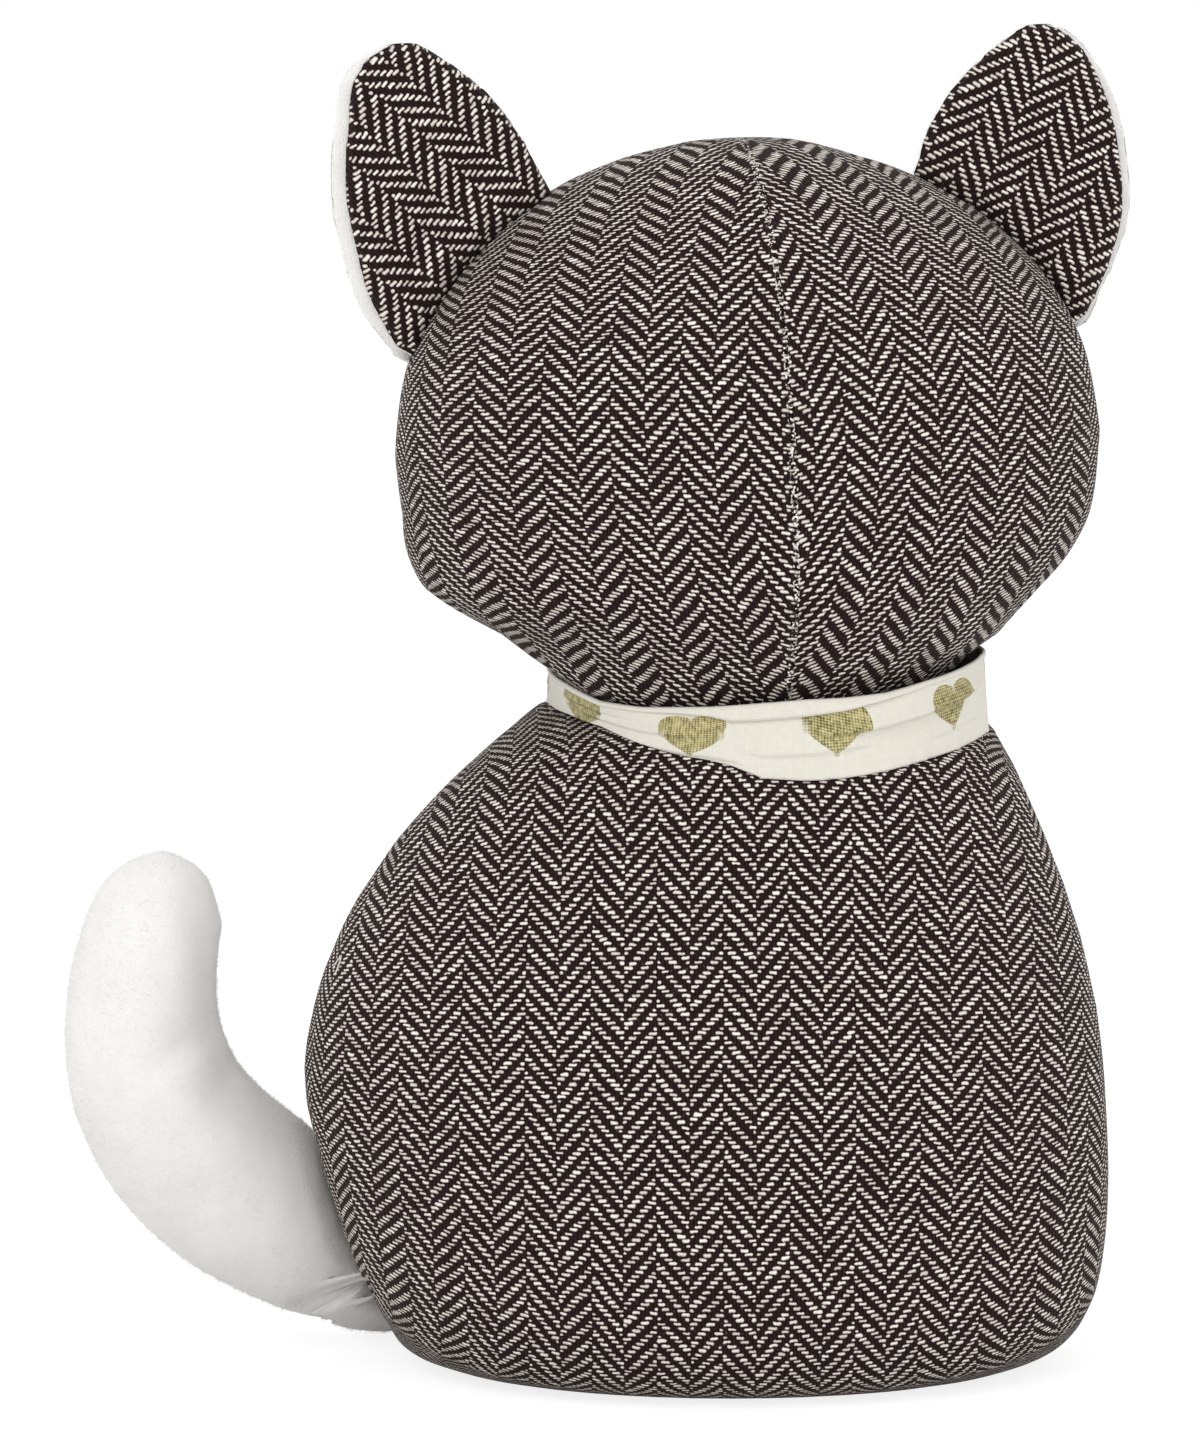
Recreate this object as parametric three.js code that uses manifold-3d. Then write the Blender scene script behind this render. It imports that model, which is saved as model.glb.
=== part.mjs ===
// Weighted fabric door stop in the shape of a sitting cat, in millimetres.
// +Z is up, the cat's back faces -Y, and the origin is the middle of the flat base.
import * as THREE from "three";
import { mergeVertices } from "three/addons/utils/BufferGeometryUtils.js";
import Module from "manifold-3d";

const wasm = await Module();
wasm.setup();

// Cloth and clearances
const tweedWall = 2;
const plushWall = 3;
const seamGap = 0.3;
const stuffingGap = 0.4;

// Body, from the middle of the base: reach of each side at its widest, and the height of that place
const bodyLeft = 94.2;
const bodyLeftHeight = 58;
const bodyRight = 87.8;
const bodyRightHeight = 44;
const bodyBack = 64;
const bodyBackHeight = 46;
const bodyFront = 68;
const bodyFrontHeight = 50;

// Flat base that it stands on
const baseOffset = 2;
const baseHalfWidth = 63;
const baseHalfDepth = 48;
const baseCorner = 22;
const basePanelInset = 1.5;
const basePanelThickness = 2;

// Neck, where the head is sewn to the body on a sloping seam
const neckHeight = 151;
const neckOffset = 10.6;
const neckHalfWidth = 45.4;
const neckHalfDepth = 41;
const neckBackTilt = 6;
const neckSideTilt = 3.2;
const neckSpare = 16;

// Roundness of the shoulders: how far the side runs up before it turns in
const leftShoulder = 57;
const rightShoulder = 62;
const backShoulder = 52;
const frontShoulder = 56;

// How each side leaves the neck, as reach and height
const leftNeckTurn = [7, -8];
const rightNeckTurn = [7, -20];
const backNeckTurn = [4, -12];
const frontNeckTurn = [5, -14];

// Head, from its own middle
const headHalfWidth = 79.2;
const headHalfDepth = 58;
const headTop = 67;
const headNeckDrop = 55;
const headNeckHalfWidth = 42.5;
const headNeckHalfDepth = 38.5;
const headCheekSag = 36;
const headUndersideRun = 19.5;
const headUndersideRise = 22.8;
const headOffset = 6;
const headAboveNeck = 55.5;
const headYaw = 8.7;
const headRoll = 2.3;

// Ears: where they sit on the head's outline, and the right one's outline from there, in shares of its size
const earSeatAngle = 37;
const earLean = 2;
const earHalfWidth = 30;
const earHeight = 50;
const earThickness = 0.6;
const earFullness = 4.2;
const earEdge = 5.5;
const leftEarOverhang = 3.4;
const rightEarOverhang = 1.6;
const earOutline = [
  [-1, 0.08],
  [-0.77, 0.31],
  [-0.53, 0.66],
  [-0.12, 0.9],
  [0.25, 1],
  [0.57, 0.86],
  [0.78, 0.52],
  [0.74, 0.1],
  [0.42, -0.4],
  [0, -0.52],
];

// Tail: its place on the body's left side, its middle line from there to the tip, and its radius
const tailSeatAngle = 162;
const tailSeatStep = 0.6;
const tailRoute = [
  [20, 8, -13],
  [4, 4, -11],
  [-11, -3, -1.5],
  [-28, -9, 12],
  [-40, -14, 28],
  [-44.6, -17, 46],
  [-43, -18, 64],
  [-36, -19, 86],
];
const tailRootRadius = 14.5;
const tailBellyRadius = 20.6;
const tailTipRadius = 15;
const tailBellyPlace = 0.42;
const tailTipShare = 0.12;
const tailTipDraw = 0.93;

// Ribbon collar: width above and below the neck seam, and how it gathers on the left
const ribbonThickness = 1;
const ribbonClearance = 0.5;
const ribbonAbove = 2.6;
const ribbonBelow = 11.5;
const ribbonBelowGathered = 3;
const ribbonFolds = 3;
const ribbonFoldDepth = 1.1;
const ribbonLean = 0.4;
const ribbonFrontLean = 1.2;

// Knot and ends of the ribbon, at the front
const knotWidth = 15;
const knotHeight = 13;
const knotDepth = 9;
const ribbonEndLength = 38;
const ribbonEndWidth = 13;
const ribbonEndSpread = 13;

// Face
const eyeRadius = 6.5;
const eyeThickness = 4;
const eyeSpacing = 44;
const eyeHeight = 4;
const noseWidth = 15;
const noseHeight = 10;
const noseThickness = 4;
const noseDrop = 14;
const noseTaper = 0.9;

// Sand bag that weighs it down
const bagBeyondBase = 5;
const bagInsideBase = 2;
const bagHeight = 66;
const bagCorner = 20;

// Mesh fineness
const bodyColumns = 28;
const headColumns = 28;
const ribbonColumns = 36;
const tailColumns = 14;
const tailRows = 14;
const tailRowSpread = 1.35;
const ribbonEndRows = 8;
const ribbonEndSteps = 3;
const basePanelSides = 48;
const bagSides = 32;
const nearTop = 1.94;
const lowerRows = 5;
const upperRows = 7;
const earPoints = 24;
const curveEnd = 2;
const farAway = 400;
const quarterRound = 0.5523;

const tweed = new THREE.MeshStandardMaterial({ color: 0x6a5e5a, roughness: 0.95 });
const plush = new THREE.MeshStandardMaterial({ color: 0xedebe9, roughness: 1 });
const canvas = new THREE.MeshStandardMaterial({ color: 0x3a3230, roughness: 0.95 });
const fibre = new THREE.MeshStandardMaterial({ color: 0xf2f0ec, roughness: 1 });
const sandCloth = new THREE.MeshStandardMaterial({ color: 0xc9b99a, roughness: 0.95 });
const ribbonCloth = new THREE.MeshStandardMaterial({ color: 0xe0ddd2, roughness: 0.85 });
const glossBlack = new THREE.MeshStandardMaterial({ color: 0x15110f, roughness: 0.3 });

const radians = THREE.MathUtils.degToRad;

// A closed mesh's geometry as a solid that can be joined and cut
function solidOf(geometry) {
  const bare = geometry.clone();
  bare.deleteAttribute("normal");
  bare.deleteAttribute("uv");
  const merged = mergeVertices(bare, 1e-4);
  return new wasm.Manifold(
    new wasm.Mesh({
      numProp: 3,
      vertProperties: new Float32Array(merged.attributes.position.array),
      triVerts: new Uint32Array(merged.index.array),
    }),
  );
}

function geometryOf(solid) {
  const mesh = solid.getMesh();
  const geometry = new THREE.BufferGeometry();
  geometry.setAttribute("position", new THREE.BufferAttribute(mesh.vertProperties, 3));
  geometry.setIndex(new THREE.BufferAttribute(mesh.triVerts, 1));
  geometry.computeVertexNormals();
  return geometry;
}

function named(name, solid, material) {
  const mesh = new THREE.Mesh(geometryOf(solid), material);
  mesh.name = name;
  return mesh;
}

// A ring of sections joined all the way round, such as a band
function band(sections) {
  const sides = sections[0].length;
  const faces = [];
  for (let i = 0; i < sections.length; i++) {
    const here = i * sides;
    const next = ((i + 1) % sections.length) * sides;
    for (let j = 0; j < sides; j++) {
      const k = (j + 1) % sides;
      faces.push(here + j, next + j, next + k, here + j, next + k, here + k);
    }
  }
  const geometry = new THREE.BufferGeometry().setFromPoints(sections.flat());
  geometry.setIndex(faces);
  geometry.computeVertexNormals();
  return geometry;
}

// Closes a stack of equal rings, from the lowest to the highest, into one skin
function loft(rings) {
  const columns = rings[0].length;
  const points = rings.flat();
  const middle = (ring) => ring.reduce((sum, p) => sum.add(p), new THREE.Vector3()).divideScalar(columns);
  const first = points.length;
  points.push(middle(rings[0]), middle(rings.at(-1)));
  const faces = [];
  for (let j = 0; j < columns; j++) {
    const k = (j + 1) % columns;
    for (let i = 0; i + 1 < rings.length; i++) {
      const a = i * columns + j;
      const b = i * columns + k;
      faces.push(a, b, b + columns, a, b + columns, a + columns);
    }
    const top = (rings.length - 1) * columns;
    faces.push(first, k, j, first + 1, top + j, top + k);
  }
  const geometry = new THREE.BufferGeometry().setFromPoints(points);
  geometry.setIndex(faces);
  geometry.computeVertexNormals();
  return geometry;
}

// The same skin moved outwards along its normals, or inwards by a negative distance
function offset(geometry, distance) {
  const moved = geometry.clone();
  const { position, normal } = moved.attributes;
  const p = new THREE.Vector3();
  const n = new THREE.Vector3();
  for (let i = 0; i < position.count; i++) {
    p.fromBufferAttribute(position, i).addScaledVector(n.fromBufferAttribute(normal, i), distance);
    position.setXYZ(i, p.x, p.y, p.z);
  }
  return moved;
}

// A block that fills everything on one side of a plane, for cuts
function halfSpace(normal, point = new THREE.Vector3()) {
  const block = new THREE.BoxGeometry(2 * farAway, 2 * farAway, 2 * farAway);
  block.translate(0, 0, farAway);
  block.applyQuaternion(new THREE.Quaternion().setFromUnitVectors(new THREE.Vector3(0, 0, 1), normal));
  block.translate(point.x, point.y, point.z);
  return solidOf(block);
}

const up = new THREE.Vector3(0, 0, 1);
const ahead = new THREE.Vector3(0, 1, 0);
const aside = new THREE.Vector3(1, 0, 0);

// One side of a stuffed form, as reach and height: from its foot out to the widest place and in to its end
function sideCurve({ foot, footPull, widest, sag, rise, end, endPull }) {
  const low = new THREE.CubicBezierCurve(
    foot,
    foot.clone().add(footPull),
    new THREE.Vector2(widest.x, widest.y - sag),
    widest,
  );
  const high = new THREE.CubicBezierCurve(
    widest,
    new THREE.Vector2(widest.x, widest.y + rise),
    end.clone().add(endPull),
    end,
  );
  return (t) => (t < 1 ? low.getPoint(t) : high.getPoint(t - 1));
}

// Where a form's skin is: t runs up it, from 0 at the foot over 1 at the widest place to curveEnd
function skinPoint(sides, angle, t) {
  const [left, right, back, front] = sides.map((side) => side(t));
  const c = Math.cos(angle);
  const s = Math.sin(angle);
  const across = c < 0 ? left : right;
  const along = s < 0 ? back : front;
  const x = (right.x - left.x) / 2 + ((right.x + left.x) / 2) * c;
  const y = (front.x - back.x) / 2 + ((front.x + back.x) / 2) * s;
  return new THREE.Vector3(x, y, across.y * c * c + along.y * s * s);
}

function ringsOf(sides, columns, last = curveEnd) {
  const steps = [];
  for (let i = 0; i < lowerRows; i++) steps.push(i / lowerRows);
  for (let i = 0; i <= upperRows; i++) steps.push(1 + (i / upperRows) * (last - 1));
  return steps.map((t) =>
    Array.from({ length: columns }, (_, j) => skinPoint(sides, (j / columns) * 2 * Math.PI, t)),
  );
}

const at = (reach, height) => new THREE.Vector2(reach, height);

function bodySide(footReach, widest, widestHeight, rise, neckReach, neckTurn) {
  return sideCurve({
    foot: at(footReach, 0),
    footPull: at(baseCorner, 0),
    widest: at(widest, widestHeight),
    sag: baseCorner,
    rise,
    end: at(neckReach, neckHeight),
    endPull: at(...neckTurn),
  });
}

const baseLeft = baseHalfWidth - baseOffset;
const baseRight = baseHalfWidth + baseOffset;
const neckLeft = neckHalfWidth - neckOffset;
const neckRight = neckHalfWidth + neckOffset;

const bodySides = [
  bodySide(baseLeft, bodyLeft, bodyLeftHeight, leftShoulder, neckLeft, leftNeckTurn),
  bodySide(baseRight, bodyRight, bodyRightHeight, rightShoulder, neckRight, rightNeckTurn),
  bodySide(baseHalfDepth, bodyBack, bodyBackHeight, backShoulder, neckHalfDepth, backNeckTurn),
  bodySide(baseHalfDepth, bodyFront, bodyFrontHeight, frontShoulder, neckHalfDepth, frontNeckTurn),
];

function bodySkin() {
  const rings = ringsOf(bodySides, bodyColumns);
  const neck = rings.at(-1);
  rings.push(neck.map((p) => p.clone().setZ(p.z + neckSpare)));
  return loft(rings);
}

// The sloping seam between the body and the head
const neckPoint = new THREE.Vector3(neckOffset, 0, neckHeight);
const neckNormal = up
  .clone()
  .applyAxisAngle(aside, radians(neckBackTilt))
  .applyAxisAngle(ahead, radians(-neckSideTilt));

function neckCut(side) {
  const normal = neckNormal.clone().multiplyScalar(side);
  return halfSpace(normal, neckPoint.clone().addScaledVector(normal, seamGap / 2));
}

const aboveNeck = neckCut(1);
const belowNeck = neckCut(-1);

// Head, upright about its own middle
function headSide(widest, neckReach) {
  return sideCurve({
    foot: at(neckReach, -headNeckDrop),
    footPull: at(headUndersideRun, headUndersideRise),
    widest: at(widest, 0),
    sag: headCheekSag,
    rise: headTop * quarterRound,
    end: at(0, headTop),
    endPull: at(widest * quarterRound, 0),
  });
}

const headSides = [
  headSide(headHalfWidth, headNeckHalfWidth),
  headSide(headHalfWidth, headNeckHalfWidth),
  headSide(headHalfDepth, headNeckHalfDepth),
  headSide(headHalfDepth, headNeckHalfDepth),
];

function headSkin() {
  const rings = ringsOf(headSides, headColumns, nearTop);
  rings.unshift(rings[0].map((p) => p.clone().setZ(p.z - neckSpare)));
  return loft(rings);
}

// The head turned and leaned as it sits on the neck
const headPlace = new THREE.Matrix4()
  .makeTranslation(headOffset, 0, neckHeight + headAboveNeck)
  .multiply(new THREE.Matrix4().makeRotationY(radians(-headRoll)))
  .multiply(new THREE.Matrix4().makeRotationZ(radians(headYaw)));
const headBack = headPlace.clone().invert();

// A cover's wall, cut from the inside of its skin
function coverOf(skin, wall) {
  return solidOf(skin).subtract(solidOf(offset(skin, -wall)));
}

const body = bodySkin();
const head = headSkin();
const frontHalf = halfSpace(ahead, ahead.clone().multiplyScalar(seamGap / 2));
const backHalf = halfSpace(ahead.clone().negate(), ahead.clone().multiplyScalar(-seamGap / 2));
const leftHalf = halfSpace(aside.clone().negate(), aside.clone().multiplyScalar(-seamGap / 2));
const rightHalf = halfSpace(aside, aside.clone().multiplyScalar(seamGap / 2));

// An upright oval slab, such as the base panel
function ovalSlab(halfWidth, halfDepth, bottom, top) {
  const slab = new THREE.CylinderGeometry(1, 1, top - bottom, basePanelSides);
  slab.rotateX(Math.PI / 2);
  slab.scale(halfWidth, halfDepth, 1);
  slab.translate(baseOffset, 0, (bottom + top) / 2);
  return solidOf(slab);
}

function bodyPieces() {
  const opening = ovalSlab(
    baseHalfWidth - basePanelInset,
    baseHalfDepth - basePanelInset,
    -1,
    basePanelThickness + seamGap,
  );
  const cover = coverOf(body, tweedWall).subtract(opening).intersect(belowNeck);
  const panelHalfWidth = baseHalfWidth - basePanelInset - seamGap;
  const panelHalfDepth = baseHalfDepth - basePanelInset - seamGap;
  const stuffing = solidOf(offset(body, -tweedWall - stuffingGap))
    .intersect(belowNeck)
    .subtract(sandBag(stuffingGap));
  return [
    named("body_back_panel", cover.intersect(backHalf), tweed),
    named("body_front_panel", cover.intersect(frontHalf), tweed),
    named("base_panel", ovalSlab(panelHalfWidth, panelHalfDepth, 0, basePanelThickness), canvas),
    named("body_stuffing", stuffing, fibre),
    named("sand_bag", sandBag(0), sandCloth),
  ];
}

const bagHalfWidth = baseHalfWidth + bagBeyondBase;
const bagHalfDepth = baseHalfDepth - bagInsideBase;

// A squat sewn bag of sand that stands on the base panel, or the room that it takes
function sandBag(room) {
  const bottom = basePanelThickness + stuffingGap - room;
  const corner = new THREE.Path();
  corner.moveTo(0, bottom);
  corner.lineTo(1 - bagCorner / bagHalfDepth, bottom);
  const height = bagHeight + 2 * room;
  corner.quadraticCurveTo(1, bottom, 1, bottom + bagCorner);
  corner.lineTo(1, bottom + height - bagCorner);
  corner.quadraticCurveTo(1, bottom + height, 1 - bagCorner / bagHalfDepth, bottom + height);
  corner.lineTo(0, bottom + height);
  const bag = new THREE.LatheGeometry(corner.getPoints(4), bagSides);
  bag.rotateX(Math.PI / 2);
  bag.scale(bagHalfWidth + room, bagHalfDepth + room, 1);
  bag.translate(baseOffset, 0, 0);
  return solidOf(bag);
}

function headPieces() {
  const toHead = (cut) => cut.transform(headBack.elements);
  const above = toHead(aboveNeck);
  const cover = coverOf(head, tweedWall).intersect(above);
  const behind = cover.intersect(backHalf);
  const stuffing = solidOf(offset(head, -tweedWall - stuffingGap)).intersect(above);
  return [
    named("head_back_left_panel", behind.intersect(leftHalf), tweed),
    named("head_back_right_panel", behind.intersect(rightHalf), tweed),
    named("head_front_panel", cover.intersect(frontHalf), tweed),
    named("head_stuffing", stuffing, fibre),
  ];
}

// An ear pillow from its outline, from which each layer of cloth takes one half
function earPillow(side, overhang) {
  const angle = radians(earSeatAngle);
  const seat = at(side * headHalfWidth * Math.cos(angle), headTop * Math.sin(angle));
  const widest = Math.max(...earOutline.map(([x]) => x));
  const corners = earOutline.map(([x, z]) =>
    at(side * (x * earHalfWidth + overhang * Math.max(0, x / widest)), z * earHeight),
  );
  const outline = new THREE.SplineCurve([...corners, corners[0]]).getPoints(earPoints).slice(0, -1);
  const pillow = new THREE.ExtrudeGeometry(new THREE.Shape(side > 0 ? outline.reverse() : outline), {
    depth: earThickness,
    bevelThickness: earFullness,
    bevelSize: earEdge,
    bevelOffset: -earEdge,
    bevelSegments: 2,
  });
  pillow.translate(0, 0, -earThickness / 2);
  pillow.rotateX(Math.PI / 2);
  pillow.rotateY(-radians(earLean));
  pillow.translate(seat.x, 0, seat.y);
  return solidOf(pillow);
}

function ear(name, side, plushOverhang, headRoom) {
  const layer = (overhang, half) => earPillow(side, overhang).intersect(half).subtract(headRoom);
  return [
    named(name + "_ear_back", layer(0, backHalf), tweed),
    named(name + "_ear_front", layer(plushOverhang, frontHalf), plush),
  ];
}

// A place on the face, by its distance from the middle line and its height
function faceDepth(x, z) {
  const [width, , , depth] = headSides.map((side) => side(stepAtHeight(side, z)).x);
  return depth * Math.sqrt(1 - (x / width) ** 2);
}

function stepAtHeight(side, height) {
  let low = 0;
  let high = curveEnd;
  for (let i = 0; i < 24; i++) {
    const middle = (low + high) / 2;
    if (side(middle).y < height) low = middle;
    else high = middle;
  }
  return low;
}

function eye(name, side, headRoom) {
  const x = (side * eyeSpacing) / 2;
  const button = new THREE.SphereGeometry(eyeRadius, 16, 8);
  button.scale(1, eyeThickness / eyeRadius, 1);
  button.rotateZ(Math.atan2(-x * headHalfDepth, headHalfWidth * headHalfWidth));
  button.translate(x, faceDepth(x, eyeHeight), eyeHeight);
  return named(name, solidOf(button).subtract(headRoom), glossBlack);
}

// A soft triangle, wide at the top
function nose(headRoom) {
  const pad = new THREE.SphereGeometry(0.5, 16, 10);
  pad.scale(noseWidth, 2 * noseThickness, noseHeight);
  const { position } = pad.attributes;
  for (let i = 0; i < position.count; i++) {
    position.setX(i, position.getX(i) * (1 + (noseTaper * position.getZ(i)) / noseHeight));
  }
  pad.translate(0, faceDepth(0, -noseDrop), -noseDrop);
  return named("nose", solidOf(pad).subtract(headRoom), glossBlack);
}

// Tail sleeve of plush with its stuffing, open where it is sewn on
function tailRadius(u) {
  const { lerp, smoothstep } = THREE.MathUtils;
  const fromRoot = smoothstep(u, 0, tailBellyPlace);
  const toTip = smoothstep(u, tailBellyPlace, 1);
  const girth = lerp(lerp(tailRootRadius, tailBellyRadius, fromRoot), tailTipRadius, toTip);
  const nearTip = Math.max(0, (u - 1 + tailTipShare) / tailTipShare);
  return girth * Math.sqrt(1 - tailTipDraw * nearTip * nearTip);
}

function tailSkin() {
  const seat = skinPoint(bodySides, radians(tailSeatAngle), tailSeatStep);
  const route = new THREE.CatmullRomCurve3(tailRoute.map((p) => new THREE.Vector3(...p).add(seat)));
  const rings = [];
  for (let i = 0; i <= tailRows; i++) {
    const u = 1 - (1 - i / tailRows) ** tailRowSpread;
    const middle = route.getPointAt(u);
    const along = route.getTangentAt(u);
    const out = new THREE.Vector3().crossVectors(along, ahead).normalize();
    const back = new THREE.Vector3().crossVectors(along, out);
    rings.push(
      Array.from({ length: tailColumns }, (_, j) => {
        const turn = (j / tailColumns) * 2 * Math.PI;
        return middle
          .clone()
          .addScaledVector(out, tailRadius(u) * Math.cos(turn))
          .addScaledVector(back, tailRadius(u) * Math.sin(turn));
      }),
    );
  }
  return loft(rings);
}

function tailPieces(bodyRoom) {
  const skin = tailSkin();
  const filling = offset(skin, -plushWall - stuffingGap);
  const inside = solidOf(offset(skin, -plushWall));
  return [
    named("tail_cover", solidOf(skin).subtract(inside).subtract(bodyRoom), plush),
    named("tail_stuffing", solidOf(filling).subtract(bodyRoom), fibre),
  ];
}

// Where the body's skin lies at a height, also above the neck ring
function bodyAt(angle, height) {
  let low = 0;
  let high = curveEnd;
  for (let i = 0; i < 24; i++) {
    const middle = (low + high) / 2;
    if (skinPoint(bodySides, angle, middle).z < height) low = middle;
    else high = middle;
  }
  return skinPoint(bodySides, angle, low).setZ(height);
}

const neckSeamHeight = (p) =>
  neckHeight - ((p.x - neckOffset) * neckNormal.x + p.y * neckNormal.y) / neckNormal.z;

function outwards(angle) {
  return new THREE.Vector3(Math.cos(angle) / neckHalfWidth, Math.sin(angle) / neckHalfDepth, 0).normalize();
}

// The ribbon follows the neck, with lengthwise folds, and gathers to a narrow band on the left
function ribbonSection(angle) {
  const ring = skinPoint(bodySides, angle, curveEnd);
  const seam = neckSeamHeight(ring);
  const gathered = Math.max(0, -Math.cos(angle));
  const below = THREE.MathUtils.lerp(ribbonBelow, ribbonBelowGathered, gathered);
  const steps = 2 * ribbonFolds;
  const inner = [];
  for (let i = 0; i <= steps; i++) {
    const height = seam - below + ((ribbonAbove + below) * i) / steps;
    const slope = ribbonLean + ribbonFrontLean * Math.max(0, Math.sin(angle));
    const lean = slope * Math.max(0, height - seam);
    const fold = i % 2 ? ribbonFoldDepth : 0;
    inner.push(bodyAt(angle, height).addScaledVector(outwards(angle), ribbonClearance + lean + fold));
  }
  const outer = inner.map((p) => p.clone().addScaledVector(outwards(angle), ribbonThickness));
  return [...inner.reverse(), ...outer];
}

function ribbonCollar() {
  const sections = Array.from({ length: ribbonColumns }, (_, i) =>
    ribbonSection((i / ribbonColumns) * 2 * Math.PI),
  );
  return solidOf(band(sections));
}

// Knot over the front of the ribbon, and the two ends that hang from it
const ribbonStand = ribbonClearance + ribbonFoldDepth + ribbonThickness + seamGap;
const frontSeam = neckSeamHeight(skinPoint(bodySides, Math.PI / 2, curveEnd));
const knotHeightAt = frontSeam - ribbonBelow / 2 + ribbonAbove / 2;

function knot() {
  const ribbonFront = bodyAt(Math.PI / 2, frontSeam - ribbonBelow).y + ribbonStand;
  const tied = new THREE.SphereGeometry(0.5, 16, 10);
  tied.scale(knotWidth, knotDepth, knotHeight);
  tied.translate(neckOffset, ribbonFront, knotHeightAt);
  const front = halfSpace(ahead, ahead.clone().multiplyScalar(ribbonFront));
  return named("ribbon_knot", solidOf(tied).intersect(front), ribbonCloth);
}

function ribbonEnd(name, side) {
  const top = knotHeightAt - knotHeight / 2 - seamGap;
  const rings = [];
  for (let i = 0; i <= ribbonEndRows; i++) {
    const down = 1 - i / ribbonEndRows;
    const height = top - ribbonEndLength * down;
    const away = down * ribbonEndSpread + ribbonEndWidth / 2 + seamGap;
    const lie = [];
    for (let j = 0; j <= ribbonEndSteps; j++) {
      const x = side * (away + ribbonEndWidth * (j / ribbonEndSteps - 0.5));
      const reach = bodyAt(Math.PI / 2, height);
      const angle = Math.PI / 2 - x / ((neckHalfWidth + bodyRight) / 2);
      const skin = bodyAt(angle, height);
      skin.y = Math.min(skin.y, reach.y) + ribbonStand;
      lie.push(skin);
    }
    if (side < 0) lie.reverse();
    const outer = lie.map((p) => p.clone().setY(p.y + ribbonThickness));
    rings.push([...lie, ...outer.reverse()]);
  }
  return named(name, solidOf(loft(rings)), ribbonCloth);
}

const headRoom = solidOf(offset(head, seamGap));
const bodyRoom = solidOf(offset(body, seamGap));

const catHead = new THREE.Group();
catHead.applyMatrix4(headPlace);
catHead.add(
  ...headPieces(),
  ...ear("left", -1, leftEarOverhang, headRoom),
  ...ear("right", 1, rightEarOverhang, headRoom),
  eye("left_eye", -1, headRoom),
  eye("right_eye", 1, headRoom),
  nose(headRoom),
);

const cat = new THREE.Group();
cat.add(
  ...bodyPieces(),
  ...tailPieces(bodyRoom),
  named("ribbon_collar", ribbonCollar(), ribbonCloth),
  knot(),
  ribbonEnd("ribbon_end_left", -1),
  ribbonEnd("ribbon_end_right", 1),
  catHead,
);
export default cat;
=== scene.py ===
# Sitting cat door stop seen from behind: tweed head and body, plush tail and ear fronts, ribbon collar
import math
import random

import bmesh
import bpy
import numpy as np
from mathutils import Matrix, Vector
from mathutils.bvhtree import BVHTree


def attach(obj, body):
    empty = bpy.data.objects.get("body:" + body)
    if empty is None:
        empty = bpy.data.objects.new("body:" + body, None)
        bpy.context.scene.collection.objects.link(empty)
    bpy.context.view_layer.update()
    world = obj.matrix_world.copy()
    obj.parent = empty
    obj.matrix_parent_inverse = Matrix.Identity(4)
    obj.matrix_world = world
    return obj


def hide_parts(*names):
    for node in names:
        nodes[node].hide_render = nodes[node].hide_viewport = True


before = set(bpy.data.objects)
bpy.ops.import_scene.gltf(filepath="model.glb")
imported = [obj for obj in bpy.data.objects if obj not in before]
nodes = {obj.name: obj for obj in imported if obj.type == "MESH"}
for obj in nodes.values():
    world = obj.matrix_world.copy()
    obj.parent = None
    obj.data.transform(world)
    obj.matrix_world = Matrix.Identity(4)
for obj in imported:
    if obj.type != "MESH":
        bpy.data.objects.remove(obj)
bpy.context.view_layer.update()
mm = 0.001


# Small tools shared by every piece
def activate(piece):
    bpy.ops.object.select_all(action="DESELECT")
    piece.select_set(True)
    bpy.context.view_layer.objects.active = piece


def applyAll(piece):
    activate(piece)
    for modifier in list(piece.modifiers):
        bpy.ops.object.modifier_apply(modifier=modifier.name)


def settle(piece):  # puts the object at the origin with its place in its mesh
    activate(piece)
    bpy.ops.object.transform_apply(location=True, rotation=True, scale=True)


def newObject(name, data):
    made = bpy.data.objects.new(name, data)
    bpy.context.collection.objects.link(made)
    return made


def joinTo(piece, other):
    activate(piece)
    other.select_set(True)
    bpy.ops.object.join()


def editAll(piece, work):  # runs a mesh tool on all of the piece
    activate(piece)
    bpy.ops.object.mode_set(mode="EDIT")
    bpy.ops.mesh.select_all(action="SELECT")
    work()
    bpy.ops.object.mode_set(mode="OBJECT")


def shadeSmooth(piece):
    activate(piece)
    bpy.ops.object.shade_smooth()


def copyOf(name, parts):  # one merged mesh from copies of CAD nodes
    bpy.ops.object.select_all(action="DESELECT")
    for part in parts:
        twin = nodes[part].copy()
        twin.data = nodes[part].data.copy()
        twin.parent = None
        bpy.context.collection.objects.link(twin)
        twin.hide_render = False
        twin.hide_viewport = False
        twin.select_set(True)
        bpy.context.view_layer.objects.active = twin
    if len(parts) > 1:
        bpy.ops.object.join()
    piece = bpy.context.object
    piece.name = name
    piece.data.name = name
    for key in list(piece.keys()):
        del piece[key]
    piece.data.materials.clear()
    editAll(piece, lambda: bpy.ops.mesh.remove_doubles(threshold=0.02 * mm))
    return piece


def readAll(piece, what):
    flat = np.empty(len(piece.data.vertices) * 3, np.float32)
    piece.data.vertices.foreach_get(what, flat)
    return flat.reshape(-1, 3).astype(float)


def points(piece):
    return readAll(piece, "co")


def normals(piece):
    return readAll(piece, "normal")


def setPoints(piece, places):
    piece.data.vertices.foreach_set("co", places.astype(np.float32).ravel())
    piece.data.update()


def carried(places, matrix):  # the places after a turn and a move
    matrix = np.array(matrix)
    return places @ matrix[:3, :3].T + matrix[:3, 3]


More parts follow.
